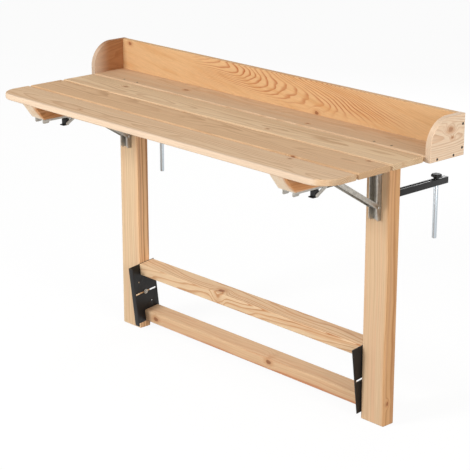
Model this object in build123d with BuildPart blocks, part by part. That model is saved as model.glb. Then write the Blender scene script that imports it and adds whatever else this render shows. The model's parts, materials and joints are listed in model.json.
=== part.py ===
"""Folding balcony table: a fixed rear frame on two legs, a leaf that folds down, clamps and a brace.

Millimetres, +X to the right, +Y towards the railing, +Z up. The origin is where the table hangs:
the middle of its width, at the rear face of the legs, on the underside of the clamp tubes.
"""
from math import asin, cos, radians, sin
import os

from build123d import *

os.makedirs("parts", exist_ok=True)

SIDES = (("left", -1), ("right", 1))
LEAF_BOARDS = ("inner_board", "middle_board", "front_board")

# Legs
leg_width = 90.0
leg_depth = 45.0
leg_inset = 125.5
floor_drop = 683.0
top_rise = 149.0
leg_round = 3.5
foot_chamfer = 2.0

# Table boards
board_thickness = 19.0
board_length = 1455.0
leaf_board_width = 123.5
rear_board_width = 123.0
board_gap = 9.0
board_round = 4.5
front_corner_radius = 70.0

# Back board and cheeks around the rear board
trim_thickness = 19.0
trim_height = 120.0
trim_round = 2.5
cheek_radius = 80.0

# Cleats under the leaf
cleat_width = 67.0
cleat_thickness = 45.0
cleat_round = 3.0
cleat_setback = 2.0
cleat_slope = 34.0

# Folding brackets, bent from sheet
sheet = 2.0
channel_clearance = 0.5
upright_width = 30.0
upright_depth = 21.0
upright_tail = 40.0
upright_toe = 7.0
pivot_out = 11.0
pivot_spacing = 104.0
pivot_radius = 4.0
strut_length = 197.0
strut_ear = 7.0
strut_web_clearance = 5.0
strut_web_end = 8.0
web_clearance = 0.6
arm_reach = 349.0
arm_ear = 10.5
arm_depth = 10.0
arm_toe_length = 25.0
arm_toe_depth = 15.5
arm_toe_round = 5.0
rivet_head = 2.0
rivet_head_radius = 6.5
running_clearance = 0.05
side_clearance = 0.2

# Catch that slides in the arm, with its release lever
catch_width = 17.0
catch_length = 44.0
catch_radius = 7.0
lever_pin_radius = 2.5
lever_radius = 5.5
lever_length = 40.0
lever_droop = 30.0
lever_gap = 0.5
grip_bar_radius = 2.5
grip_ahead = 7.5
grip_below = 6.0
grip_length = 16.0
grip_height = 22.0
grip_round = 4.0
grip_toe_length = 8.0
grip_toe_thickness = 3.5
grip_toe_round = 1.6
spring_width = 7.0
spring_wire = 1.4
spring_gap = 0.5
spring_slot = 21.0

# Railing clamps
tube_side = 20.0
tube_wall = 1.5
tube_round = 2.0
tube_reach = 249.0
tube_seat = 25.0
tube_end_wall = 4.0
seat_clearance = 0.1
slot_front = 30.0
slot_rear_wall = 16.0
stud_radius = 4.0
slot_clearance = 0.3
rod_radius = 7.0
rod_length = 163.0
rod_chamfer = 1.5
rod_setback = {"left": 150.0, "right": 41.0}
knob_radius = 16.0
knob_head = 7.0
knob_neck = 5.0
knob_neck_radius = 8.0
knob_lobes = 8
knob_scallop = 3.6
knob_scallop_out = 1.8
knob_crown = 2.5
stud_cover = 3.0
plug_depth = 14.0
plug_cap = 2.5
plug_round = 0.8

# Brace on the legs
brace_height = 554.0
brace_tilt = 7.0
plate_thickness = 3.0
plate_height = 210.0
plate_front = 59.0
plate_rear = 51.0
plate_flange = 18.0
plate_round = 3.0
plate_clearance = 0.5
plate_hole_radius = 2.5
plate_hole_out = 23.0
plate_hole_up = 41.0
rail_width = 60.0
rail_thickness = 40.0
rail_round = 3.0
rail_setback = 8.0
brace_slot_length = 92.0
bolt_radius = 3.0
bolt_depth = 50.0
bolt_head_radius = 6.0
bolt_head = 4.0
bolt_socket_radius = 2.2
bolt_socket_depth = 2.0
bolt_head_round = 2.0
washer_radius = 8.0
washer_thickness = 1.2

# Countersunk screws
screw_head_radius = 4.0
screw_radius = 2.0
screw_head = 2.0
screw_point = 4.0
screw_fit = 0.05
board_screw_length = 50.0
trim_screw_length = 45.0
cleat_screw_length = 58.0
bracket_screw_length = 28.0
rail_screw_length = 50.0
tube_screw_length = 23.0
rear_screw_spread = 33.0
rear_screw_inset = 15.0
cheek_screw_low = 23.0
cheek_screw_high = 91.0
cheek_screw_edge = 7.0
cheek_screw_steps = (28.0, 97.0)
back_screw_inset = 247.5
cleat_screw_spread = 26.0
arm_screw_inset = 42.0
upright_screw_high = 25.0
upright_screw_middle = 60.0
upright_screw_tail = 22.0
rail_screw_spread = 14.0

# Places worked out from the sizes above
leg_x = board_length / 2 - leg_inset - leg_width / 2
leg_front = -leg_depth
board_top = top_rise + board_thickness
leaf_rear = leg_front - board_gap
leaf_pitch = leaf_board_width + board_gap
leaf_front = leaf_rear - len(LEAF_BOARDS) * leaf_pitch + board_gap
rear_board_rear = leg_front + rear_board_width
trim_rear = rear_board_rear + trim_thickness
cleat_bottom = top_rise - cleat_thickness

upright_half = upright_width / 2
strut_inner = upright_half + channel_clearance
strut_outer = strut_inner + sheet
arm_inner = strut_outer + channel_clearance
arm_outer = arm_inner + sheet
arm_web_in = upright_depth - pivot_out + web_clearance
fold_y = leg_front - pivot_out
fold_z = cleat_bottom - sheet - arm_web_in
strut_foot_z = fold_z - pivot_spacing
upright_foot = strut_foot_z - upright_tail
strut_rise = asin(pivot_spacing / strut_length)
strut_web_start = upright_tail + strut_web_clearance
catch_y = fold_y - strut_length * cos(strut_rise)
lever_y = catch_y - catch_length

slot_rear = tube_reach - slot_rear_wall
plate_x = leg_x - leg_width / 2 - plate_clearance
bolt_y = leg_front / 2
bolt_z = -brace_height
rail_length = 2 * (plate_x - plate_thickness)
rail_middle = plate_front - plate_thickness - rail_setback - rail_width / 2
rail_up = plate_height / 2 - rail_thickness / 2


def spot(x, y, z, outward):
    """Place of a screw: the middle of its head, with its head facing outward."""
    return Plane(origin=(x, y, z), z_dir=outward).location


def make_screw(length, fit=0.0):
    """Countersunk screw with its head in the XY plane, or its hole when it has a fit."""
    with BuildPart() as screw:
        with BuildSketch(Plane.XZ):
            with BuildLine():
                Polyline(
                    (0, 0),
                    (screw_head_radius + fit, 0),
                    (screw_radius + fit, -screw_head),
                    (screw_radius + fit, screw_point - length),
                    (0, -length),
                    close=True,
                )
            make_face()
        revolve(axis=Axis.Z)
    return screw.part


def side_plane(x, y, z):
    """Plane that looks along +X, with +Y to its right and +Z up."""
    return Plane(origin=(x, y, z), x_dir=(0, 1, 0), z_dir=(1, 0, 0))


def strut_plane(x):
    """Plane of a strut: along it from its foot, and towards the open side of its channel."""
    along = (0, -cos(strut_rise), sin(strut_rise))
    return Plane(origin=(x, fold_y, strut_foot_z), x_dir=along, z_dir=(1, 0, 0))


def brace_plane(x):
    """Plane of the tilted brace: rearward along its slot, and up."""
    tilt = radians(brace_tilt)
    return Plane(origin=(x, bolt_y, bolt_z), x_dir=(0, cos(tilt), sin(tilt)), z_dir=(1, 0, 0))


# Screws and where they sit
rear_spots = [
    spot(side * leg_x + step, leg_front + rear_screw_inset, board_top, (0, 0, 1))
    for _, side in SIDES
    for step in (-rear_screw_spread, rear_screw_spread)
]
cheek_x = board_length / 2 + trim_thickness
board_middle = top_rise + board_thickness / 2
cheek_spots = []
for _, side in SIDES:
    for height in (cheek_screw_low, cheek_screw_high):
        place = (side * cheek_x, trim_rear - trim_thickness / 2, top_rise + height)
        cheek_spots.append(spot(*place, (side, 0, 0)))
    for step in cheek_screw_steps:
        place = (side * cheek_x, leg_front + step, top_rise + cheek_screw_edge)
        cheek_spots.append(spot(*place, (side, 0, 0)))
back_spots = [
    spot(step, trim_rear, board_middle, (0, 1, 0))
    for step in (back_screw_inset - board_length / 2, 0, board_length / 2 - back_screw_inset)
]
leaf_middles = [
    leaf_rear - leaf_board_width / 2 - row * leaf_pitch for row in range(len(LEAF_BOARDS))
]
cleat_spots = [
    spot(side * leg_x + step, middle, cleat_bottom, (0, 0, -1))
    for _, side in SIDES
    for middle in leaf_middles
    for step in (-cleat_screw_spread, cleat_screw_spread)
]
arm_spots = [
    spot(side * leg_x, fold_y - out, cleat_bottom - sheet, (0, 0, -1))
    for _, side in SIDES
    for out in (arm_screw_inset, arm_reach / 2, arm_reach - arm_screw_inset)
]
upright_spots = [
    spot(side * leg_x, leg_front - sheet, height, (0, -1, 0))
    for _, side in SIDES
    for height in (
        fold_z - upright_screw_high,
        fold_z - upright_screw_middle,
        strut_foot_z - upright_screw_tail,
    )
]
tube_middle = tube_side / 2
tube_spots = [spot(side * leg_x, leg_front, tube_middle, (0, -1, 0)) for _, side in SIDES]
rail_spots = []
for _, side in SIDES:
    plane = brace_plane(side * plate_x)
    for up in (-rail_up, rail_up):
        for step in (-rail_screw_spread, rail_screw_spread):
            place = plane.from_local_coords(Vector(rail_middle + step, up, 0))
            rail_spots.append(spot(place.X, place.Y, place.Z, (side, 0, 0)))

board_screw = make_screw(board_screw_length)
board_screw_hole = make_screw(board_screw_length, screw_fit)
trim_screw = make_screw(trim_screw_length)
trim_screw_hole = make_screw(trim_screw_length, screw_fit)
cleat_screw = make_screw(cleat_screw_length)
cleat_screw_hole = make_screw(cleat_screw_length, screw_fit)
bracket_screw = make_screw(bracket_screw_length)
bracket_screw_hole = make_screw(bracket_screw_length, screw_fit)
rail_screw = make_screw(rail_screw_length)
rail_screw_hole = make_screw(rail_screw_length, screw_fit)
tube_screw = make_screw(tube_screw_length)
tube_screw_hole = make_screw(tube_screw_length, screw_fit)

# Legs, each with a seat for its clamp tube and a hole for its brace bolt
for name, side in SIDES:
    with BuildPart() as leg:
        with BuildSketch(Plane.XY.offset(-floor_drop)):
            with Locations((side * leg_x, -leg_depth / 2)):
                Rectangle(leg_width, leg_depth)
        extrude(amount=floor_drop + top_rise)
        fillet(leg.edges().filter_by(Axis.Z), leg_round)
        chamfer(leg.faces().sort_by(Axis.Z)[0].edges(), foot_chamfer)
        with BuildSketch(Plane.XZ):
            with Locations((side * leg_x, tube_middle)):
                Rectangle(tube_side + 2 * seat_clearance, tube_side + 2 * seat_clearance)
        extrude(amount=tube_seat, mode=Mode.SUBTRACT)
        with BuildSketch(side_plane(side * (leg_x - leg_width / 2), bolt_y, bolt_z)):
            Circle(bolt_radius + running_clearance)
        extrude(amount=side * bolt_depth, mode=Mode.SUBTRACT)
        with Locations(*rear_spots):
            add(board_screw_hole, mode=Mode.SUBTRACT)
        with Locations(*upright_spots):
            add(bracket_screw_hole, mode=Mode.SUBTRACT)
        with Locations(*tube_spots):
            add(tube_screw_hole, mode=Mode.SUBTRACT)
    leg.part.label = f"leg_{name}"
    export_step(leg.part, f"parts/leg_{name}.step")

# Rear board on the legs
with BuildPart() as rear_board:
    with BuildSketch(Plane.XY.offset(top_rise)):
        with Locations((0, leg_front + rear_board_width / 2)):
            Rectangle(board_length, rear_board_width)
    extrude(amount=board_thickness)
    front_face = rear_board.faces().sort_by(Axis.Y)[0]
    fillet(front_face.edges().filter_by(Axis.X), board_round)
    for spots, hole in ((rear_spots, board_screw_hole), (cheek_spots + back_spots, trim_screw_hole)):
        with Locations(*spots):
            add(hole, mode=Mode.SUBTRACT)
rear_board.part.label = "rear_board"
export_step(rear_board.part, "parts/rear_board.step")

# Back board behind the rear board
with BuildPart() as back_board:
    with BuildSketch(Plane.XY.offset(top_rise)):
        with Locations((0, rear_board_rear + trim_thickness / 2)):
            Rectangle(board_length, trim_thickness)
    extrude(amount=trim_height)
    fillet(back_board.edges().filter_by(Axis.X).group_by(Axis.Z)[-1], trim_round)
    with Locations(*cheek_spots, *back_spots):
        add(trim_screw_hole, mode=Mode.SUBTRACT)
back_board.part.label = "back_board"
export_step(back_board.part, "parts/back_board.step")

# Cheeks at both ends of the rear board, round at the top of their front
for name, side in SIDES:
    with BuildPart() as cheek:
        with BuildSketch(side_plane(side * board_length / 2, leg_front, top_rise)):
            with BuildLine():
                depth = trim_rear - leg_front
                Line((0, 0), (depth, 0))
                Line((depth, 0), (depth, trim_height))
                Line((depth, trim_height), (cheek_radius, trim_height))
                RadiusArc((cheek_radius, trim_height), (0, trim_height - cheek_radius), -cheek_radius)
                Line((0, trim_height - cheek_radius), (0, 0))
            make_face()
        extrude(amount=side * trim_thickness)
        fillet(cheek.faces().sort_by(Axis.X)[0 if side < 0 else -1].edges(), trim_round)
        with Locations(*cheek_spots):
            add(trim_screw_hole, mode=Mode.SUBTRACT)
    cheek.part.label = f"cheek_{name}"
    export_step(cheek.part, f"parts/cheek_{name}.step")

# Boards of the folding leaf, from the legs outwards; the outermost has round corners
for row, name in enumerate(LEAF_BOARDS):
    with BuildPart() as board:
        with BuildSketch(Plane.XY.offset(top_rise)) as outline:
            with Locations((0, leaf_middles[row])):
                Rectangle(board_length, leaf_board_width)
            if name == LEAF_BOARDS[-1]:
                fillet(outline.vertices().group_by(Axis.Y)[0], front_corner_radius)
        extrude(amount=board_thickness)
        rim = board.faces().sort_by(Axis.Z)
        fillet(rim[0].edges() + rim[-1].edges(), board_round)
        with Locations(*cleat_spots):
            add(cleat_screw_hole, mode=Mode.SUBTRACT)
    board.part.label = name
    export_step(board.part, f"parts/{name}.step")

# Cleats across the leaf boards, sloped at their front end
for name, side in SIDES:
    with BuildPart() as cleat:
        with BuildSketch(side_plane(side * leg_x, 0, 0)):
            with BuildLine():
                Polyline(
                    (leaf_rear, cleat_bottom),
                    (leaf_rear, top_rise),
                    (leaf_front + cleat_setback, top_rise),
                    (leaf_front + cleat_setback + cleat_slope, cleat_bottom),
                    close=True,
                )
            make_face()
        extrude(amount=cleat_width / 2, both=True)
        fillet(cleat.edges().filter_by(Axis.Y).group_by(Axis.Z)[0], cleat_round)
        with Locations(*cleat_spots):
            add(cleat_screw_hole, mode=Mode.SUBTRACT)
        with Locations(*arm_spots):
            add(bracket_screw_hole, mode=Mode.SUBTRACT)
    cleat.part.label = f"cleat_{name}"
    export_step(cleat.part, f"parts/cleat_{name}.step")

# Bracket uprights on the fronts of the legs: channels open to the front
for name, side in SIDES:
    with BuildPart() as upright:
        with BuildSketch(side_plane(side * leg_x, 0, 0)):
            with BuildLine():
                Polyline(
                    (leg_front, upright_foot),
                    (leg_front, fold_z),
                    (leg_front - upright_depth, fold_z),
                    (leg_front - upright_depth, upright_foot + upright_toe),
                    (leg_front - upright_depth + upright_toe, upright_foot),
                    close=True,
                )
            make_face()
            with Locations((fold_y, fold_z)):
                Circle(upright_depth - pivot_out)
        extrude(amount=upright_half, both=True)
        with BuildSketch(side_plane(side * leg_x, 0, 0)):
            with Locations((leg_front - sheet, (fold_z + upright_foot) / 2)):
                height = 2 * (pivot_spacing + upright_tail + upright_depth)
                Rectangle(upright_depth, height, align=(Align.MAX, Align.CENTER))
        extrude(amount=upright_half - sheet, both=True, mode=Mode.SUBTRACT)
        with BuildSketch(side_plane(side * leg_x, 0, 0)):
            with Locations((fold_y, fold_z), (fold_y, strut_foot_z)):
                Circle(pivot_radius)
        extrude(amount=upright_width, both=True, mode=Mode.SUBTRACT)
        with Locations(*upright_spots):
            add(bracket_screw_hole, mode=Mode.SUBTRACT)
    upright.part.label = f"upright_{name}"
    export_step(upright.part, f"parts/upright_{name}.step")

# Bracket arms under the cleats: channels open downward, with a deeper round toe at the front
for name, side in SIDES:
    with BuildPart() as arm:
        with BuildSketch(side_plane(side * leg_x, 0, 0)) as skirt:
            with Locations((fold_y, cleat_bottom)):
                Rectangle(arm_reach, arm_depth, align=(Align.MAX, Align.MAX))
            with Locations((fold_y - arm_reach, cleat_bottom)):
                Rectangle(arm_toe_length, arm_toe_depth, align=(Align.MIN, Align.MAX))
            fillet(skirt.vertices().group_by(Axis.Y)[0], arm_toe_round)
            with Locations((fold_y, fold_z)):
                Circle(arm_ear)
        extrude(amount=arm_outer, both=True)
        with BuildSketch(side_plane(side * leg_x, 0, 0)):
            with Locations((fold_y - arm_reach / 2, cleat_bottom - sheet)):
                height = arm_web_in + arm_ear + arm_toe_depth
                Rectangle(2 * arm_reach, height, align=(Align.CENTER, Align.MAX))
        extrude(amount=arm_inner, both=True, mode=Mode.SUBTRACT)
        with BuildSketch(side_plane(side * leg_x, 0, 0)):
            with Locations((fold_y, fold_z)):
                Circle(pivot_radius + running_clearance)
        extrude(amount=2 * arm_outer, both=True, mode=Mode.SUBTRACT)
        with Locations(*arm_spots):
            add(bracket_screw_hole, mode=Mode.SUBTRACT)
    arm.part.label = f"arm_{name}"
    export_step(arm.part, f"parts/arm_{name}.step")

# Fold pins through upright and arm, with riveted heads outside the arm
for name, side in SIDES:
    with BuildPart() as fold_pin:
        with BuildSketch(side_plane(side * leg_x, fold_y, fold_z)):
            Circle(pivot_radius)
        extrude(amount=arm_outer + side_clearance, both=True)
        for end in (-1, 1):
            with BuildSketch(side_plane(side * leg_x + end * (arm_outer + side_clearance), fold_y, fold_z)):
                Circle(rivet_head_radius)
            extrude(amount=end * rivet_head)
    fold_pin.part.label = f"fold_pin_{name}"
    export_step(fold_pin.part, f"parts/fold_pin_{name}.step")

# Strut pivots, flush with the outsides of the struts
for name, side in SIDES:
    with BuildPart() as strut_pivot:
        with BuildSketch(side_plane(side * leg_x, fold_y, strut_foot_z)):
            Circle(pivot_radius)
        extrude(amount=strut_outer, both=True)
    strut_pivot.part.label = f"strut_pivot_{name}"
    export_step(strut_pivot.part, f"parts/strut_pivot_{name}.step")

# Struts: channels that straddle the uprights and reach up into the arms
for name, side in SIDES:
    with BuildPart() as strut:
        with BuildSketch(strut_plane(side * leg_x)):
            with Locations((strut_length / 2, 0)):
                SlotCenterToCenter(strut_length, 2 * strut_ear)
        extrude(amount=strut_outer, both=True)
        with BuildSketch(strut_plane(side * leg_x)):
            with Locations((strut_length / 2, 0)):
                Rectangle(2 * strut_length, 4 * strut_ear)
            with Locations((strut_web_start, -strut_ear)):
                span = strut_length - strut_web_start - strut_web_end
                Rectangle(span, sheet, align=(Align.MIN, Align.MIN), mode=Mode.SUBTRACT)
        extrude(amount=strut_inner, both=True, mode=Mode.SUBTRACT)
        with BuildSketch(strut_plane(side * leg_x)):
            Circle(pivot_radius + running_clearance)
            with Locations((strut_length, 0)):
                Circle(pivot_radius)
        extrude(amount=2 * strut_outer, both=True, mode=Mode.SUBTRACT)
    strut.part.label = f"strut_{name}"
    export_step(strut.part, f"parts/strut_{name}.step")

# Catch pins at the heads of the struts, flush with their outsides
for name, side in SIDES:
    with BuildPart() as catch_pin:
        with BuildSketch(side_plane(side * leg_x, catch_y, fold_z)):
            Circle(pivot_radius)
        extrude(amount=strut_outer, both=True)
    catch_pin.part.label = f"catch_pin_{name}"
    export_step(catch_pin.part, f"parts/catch_pin_{name}.step")

# Catches on those pins, slotted at the front for the lever's spring
for name, side in SIDES:
    with BuildPart() as catch:
        with BuildSketch(side_plane(side * leg_x, (catch_y + lever_y) / 2, fold_z)):
            SlotCenterToCenter(catch_length, 2 * catch_radius)
        extrude(amount=catch_width / 2, both=True)
        with BuildSketch(side_plane(side * leg_x, lever_y, fold_z)):
            Rectangle(spring_slot, spring_slot)
        extrude(amount=spring_width / 2 + spring_gap, both=True, mode=Mode.SUBTRACT)
        with BuildSketch(side_plane(side * leg_x, 0, fold_z)):
            with Locations((catch_y, 0)):
                Circle(pivot_radius + running_clearance)
            with Locations((lever_y, 0)):
                Circle(lever_pin_radius)
        extrude(amount=catch_width, both=True, mode=Mode.SUBTRACT)
    catch.part.label = f"catch_{name}"
    export_step(catch.part, f"parts/catch_{name}.step")

# Lever pins across the catches
strap_inner = catch_width / 2 + lever_gap
strap_outer = strap_inner + sheet
for name, side in SIDES:
    with BuildPart() as lever_pin:
        with BuildSketch(side_plane(side * leg_x, lever_y, fold_z)):
            Circle(lever_pin_radius)
        extrude(amount=strap_outer, both=True)
    lever_pin.part.label = f"lever_pin_{name}"
    export_step(lever_pin.part, f"parts/lever_pin_{name}.step")

# Springs wound round the lever pins, as the outer form of their close turns
spring_turns = round(spring_width / spring_wire)
spring_pitch = spring_width / spring_turns
for name, side in SIDES:
    with BuildPart() as lever_spring:
        start = side * leg_x - spring_width / 2
        inner = lever_pin_radius + running_clearance
        with BuildSketch(Plane(origin=(start, lever_y, fold_z), x_dir=(1, 0, 0), z_dir=(0, -1, 0))):
            with BuildLine():
                Line((0, inner), (spring_width, inner))
                Line((spring_width, inner), (spring_width, inner + spring_wire / 2))
                for turn in reversed(range(spring_turns)):
                    right = ((turn + 1) * spring_pitch, inner + spring_wire / 2)
                    top = ((turn + 0.5) * spring_pitch, inner + spring_wire)
                    left = (turn * spring_pitch, inner + spring_wire / 2)
                    ThreePointArc(right, top, left)
                Line((0, inner + spring_wire / 2), (0, inner))
            make_face()
        revolve(axis=Axis((start, lever_y, fold_z), (1, 0, 0)))
    lever_spring.part.label = f"lever_spring_{name}"
    export_step(lever_spring.part, f"parts/lever_spring_{name}.step")

# Release levers: two straps from the lever pin, joined by the bar inside a trigger with a toe
droop = radians(lever_droop)
lever_along = (0, -cos(droop), -sin(droop))
for name, side in SIDES:
    lever_plane = Plane(origin=(side * leg_x, lever_y, fold_z), x_dir=lever_along, z_dir=(1, 0, 0))
    with BuildPart() as lever:
        for end in (-1, 1):
            with BuildSketch(lever_plane.offset(end * strap_inner)):
                with Locations((lever_length / 2, 0)):
                    SlotCenterToCenter(lever_length, 2 * lever_radius)
            extrude(amount=end * sheet)
        with BuildSketch(lever_plane):
            Circle(lever_pin_radius + running_clearance)
        extrude(amount=2 * strap_outer, both=True, mode=Mode.SUBTRACT)
        with BuildSketch(lever_plane):
            with Locations((lever_length, 0)):
                Circle(grip_bar_radius)
        extrude(amount=strap_inner, both=True)
    lever.part.label = f"release_lever_{name}"
    export_step(lever.part, f"parts/release_lever_{name}.step")

    bar = lever_plane.from_local_coords(Vector(lever_length, 0, 0))
    grip_plane = Plane(origin=bar, x_dir=(0, -1, 0), z_dir=(1, 0, 0))
    with BuildPart() as lever_grip:
        with BuildSketch(grip_plane) as grip:
            with Locations((grip_ahead, grip_below)):
                Rectangle(grip_length, grip_height, align=(Align.MAX, Align.MAX))
            fillet(grip.vertices(), grip_round)
            with Locations((grip_ahead - grip_round, grip_below)):
                length = grip_round + grip_toe_length
                Rectangle(length, grip_toe_thickness, align=(Align.MIN, Align.MAX))
            fillet(grip.vertices().group_by(Axis.X)[-1], grip_toe_round)
            Circle(grip_bar_radius + running_clearance, mode=Mode.SUBTRACT)
        extrude(amount=strap_inner - side_clearance, both=True)
    lever_grip.part.label = f"lever_grip_{name}"
    export_step(lever_grip.part, f"parts/lever_grip_{name}.step")

# Clamp tubes in the backs of the legs, slotted above and below for the stud of the rod
for name, side in SIDES:
    with BuildPart() as clamp_tube:
        with BuildSketch(Plane.XZ.offset(tube_seat)):
            with Locations((side * leg_x, tube_middle)):
                RectangleRounded(tube_side, tube_side, tube_round)
        extrude(amount=-(tube_seat + tube_reach))
        with BuildSketch(Plane.XZ.offset(tube_seat - tube_end_wall)):
            with Locations((side * leg_x, tube_middle)):
                Rectangle(tube_side - 2 * tube_wall, tube_side - 2 * tube_wall)
        extrude(amount=-(tube_seat + tube_reach), mode=Mode.SUBTRACT)
        with BuildSketch(Plane.XY):
            with Locations((side * leg_x, (slot_front + slot_rear) / 2)):
                SlotOverall(slot_rear - slot_front, 2 * (stud_radius + slot_clearance), rotation=90)
        extrude(amount=tube_side, mode=Mode.SUBTRACT)
        with Locations(*tube_spots):
            add(tube_screw_hole, mode=Mode.SUBTRACT)
    clamp_tube.part.label = f"clamp_tube_{name}"
    export_step(clamp_tube.part, f"parts/clamp_tube_{name}.step")

# Plugs in the open ends of the clamp tubes
for name, side in SIDES:
    with BuildPart() as tube_plug:
        with BuildSketch(Plane.XZ.offset(-tube_reach)):
            with Locations((side * leg_x, tube_middle)):
                RectangleRounded(tube_side, tube_side, tube_round)
        extrude(amount=-plug_cap)
        fillet(tube_plug.faces().sort_by(Axis.Y)[-1].edges(), plug_round)
        with BuildSketch(Plane.XZ.offset(-tube_reach)):
            with Locations((side * leg_x, tube_middle)):
                bore = tube_side - 2 * (tube_wall + seat_clearance)
                Rectangle(bore, bore)
        extrude(amount=plug_depth)
    tube_plug.part.label = f"tube_plug_{name}"
    export_step(tube_plug.part, f"parts/tube_plug_{name}.step")

# Clamp rods behind the railing, with a stud up through the slots
knob_foot = tube_side + side_clearance
stud_top = knob_foot + knob_neck + knob_head + knob_crown - stud_cover
for name, side in SIDES:
    rod_y = tube_reach - rod_setback[name]
    with BuildPart() as clamp_rod:
        with BuildSketch(Plane.XY.offset(-side_clearance)):
            with Locations((side * leg_x, rod_y)):
                Circle(rod_radius)
        extrude(amount=-rod_length)
        chamfer(clamp_rod.faces().sort_by(Axis.Z)[0].edges(), rod_chamfer)
        with BuildSketch(Plane.XY.offset(-side_clearance)):
            with Locations((side * leg_x, rod_y)):
                Circle(stud_radius)
        extrude(amount=stud_top + side_clearance)
    clamp_rod.part.label = f"clamp_rod_{name}"
    export_step(clamp_rod.part, f"parts/clamp_rod_{name}.step")

# Star knobs on the studs
for name, side in SIDES:
    knob_plane = Plane(origin=(side * leg_x, tube_reach - rod_setback[name], knob_foot))
    with BuildPart() as clamp_knob:
        with BuildSketch(knob_plane):
            Circle(knob_neck_radius)
        extrude(amount=knob_neck)
        with BuildSketch(knob_plane.offset(knob_neck)):
            Circle(knob_radius)
            with PolarLocations(knob_radius + knob_scallop_out, knob_lobes):
                Circle(knob_scallop, mode=Mode.SUBTRACT)
        extrude(amount=knob_head + knob_crown)
        fillet(clamp_knob.faces().sort_by(Axis.Z)[-1].edges(), knob_crown)
        with BuildSketch(knob_plane):
            Circle(stud_radius + running_clearance)
        extrude(amount=stud_top - knob_foot + running_clearance, mode=Mode.SUBTRACT)
    clamp_knob.part.label = f"clamp_knob_{name}"
    export_step(clamp_knob.part, f"parts/clamp_knob_{name}.step")

# Brace plates on the insides of the legs. Both are one bent plate, turned round on the right leg:
# its flange stands at the front on the left and at the rear on the right
for name, side in SIDES:
    inward = Plane(
        origin=(side * plate_x, bolt_y, bolt_z),
        x_dir=-side * brace_plane(0).x_dir,
        z_dir=(-side, 0, 0),
    )
    with BuildPart() as brace_plate:
        with BuildSketch(inward):
            with Locations((-plate_front, 0)):
                Rectangle(plate_front + plate_rear, plate_height, align=(Align.MIN, Align.CENTER))
        extrude(amount=plate_thickness)
        with BuildSketch(inward):
            with Locations((-plate_front, 0)):
                Rectangle(plate_thickness, plate_height, align=(Align.MIN, Align.CENTER))
        extrude(amount=plate_thickness + plate_flange)
        corner = inward.from_local_coords(Vector(-plate_front, 0, 0))
        fillet(brace_plate.edges().sort_by_distance(corner)[0], plate_round)
        with BuildSketch(inward):
            SlotOverall(brace_slot_length, 2 * (bolt_radius + slot_clearance))
            with Locations((-plate_hole_out, plate_hole_up), (plate_hole_out, -plate_hole_up)):
                Circle(plate_hole_radius)
        extrude(amount=2 * plate_thickness, mode=Mode.SUBTRACT)
        with Locations(*rail_spots):
            add(rail_screw_hole, mode=Mode.SUBTRACT)
    brace_plate.part.label = f"brace_plate_{name}"
    export_step(brace_plate.part, f"parts/brace_plate_{name}.step")

# Rails between the brace plates
for name, up in (("upper_rail", rail_up), ("lower_rail", -rail_up)):
    with BuildPart() as rail:
        with BuildSketch(brace_plane(0)):
            with Locations((rail_middle, up)):
                Rectangle(rail_width, rail_thickness)
        extrude(amount=rail_length / 2, both=True)
        fillet(rail.edges().filter_by(Axis.X), rail_round)
        with Locations(*rail_spots):
            add(rail_screw_hole, mode=Mode.SUBTRACT)
    rail.part.label = name
    export_step(rail.part, f"parts/{name}.step")

# Brace bolts with their washers, through the slots into the legs
for name, side in SIDES:
    inner_face = side * (plate_x - plate_thickness - side_clearance)
    with BuildPart() as brace_washer:
        with BuildSketch(side_plane(inner_face, bolt_y, bolt_z)):
            Circle(washer_radius)
            Circle(bolt_radius + running_clearance, mode=Mode.SUBTRACT)
        extrude(amount=-side * washer_thickness)
    brace_washer.part.label = f"brace_washer_{name}"
    export_step(brace_washer.part, f"parts/brace_washer_{name}.step")

    head_face = inner_face - side * washer_thickness
    with BuildPart() as brace_bolt:
        with BuildSketch(side_plane(head_face, bolt_y, bolt_z)):
            Circle(bolt_radius)
        bolt_reach = abs(leg_x - leg_width / 2 - abs(head_face)) + bolt_depth - side_clearance
        extrude(amount=side * bolt_reach)
        with BuildSketch(side_plane(head_face, bolt_y, bolt_z)):
            Circle(bolt_head_radius)
        extrude(amount=-side * bolt_head)
        fillet(brace_bolt.faces().sort_by(Axis.X)[0 if side > 0 else -1].edges(), bolt_head_round)
        with BuildSketch(side_plane(head_face - side * bolt_head, bolt_y, bolt_z)):
            RegularPolygon(bolt_socket_radius, 6)
        extrude(amount=side * bolt_socket_depth, mode=Mode.SUBTRACT)
    brace_bolt.part.label = f"brace_bolt_{name}"
    export_step(brace_bolt.part, f"parts/brace_bolt_{name}.step")

# Screws, one group for each place they are used
screw_groups = {
    "rear_board_screws": (board_screw, rear_spots),
    "cheek_screws": (trim_screw, cheek_spots),
    "back_board_screws": (trim_screw, back_spots),
    "cleat_screws": (cleat_screw, cleat_spots),
    "arm_screws": (bracket_screw, arm_spots),
    "upright_screws": (bracket_screw, upright_spots),
    "tube_screws": (tube_screw, tube_spots),
    "rail_screws": (rail_screw, rail_spots),
}
for name, (screw, spots) in screw_groups.items():
    with BuildPart() as screws:
        with Locations(*spots):
            add(screw)
    screws.part.label = name
    export_step(screws.part, f"parts/{name}.step")
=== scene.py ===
"""Looks of the folding balcony table: larch boards, bent steel brackets, black clamps and a brace.

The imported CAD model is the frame. The wood keeps its CAD shape and gets its grain here; the metal and
plastic pieces are finished with broken edges, screw recesses, lobes and wound wire over the same places.
"""
import json
import math

import bmesh
import bpy
from mathutils import Matrix, Vector

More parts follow.
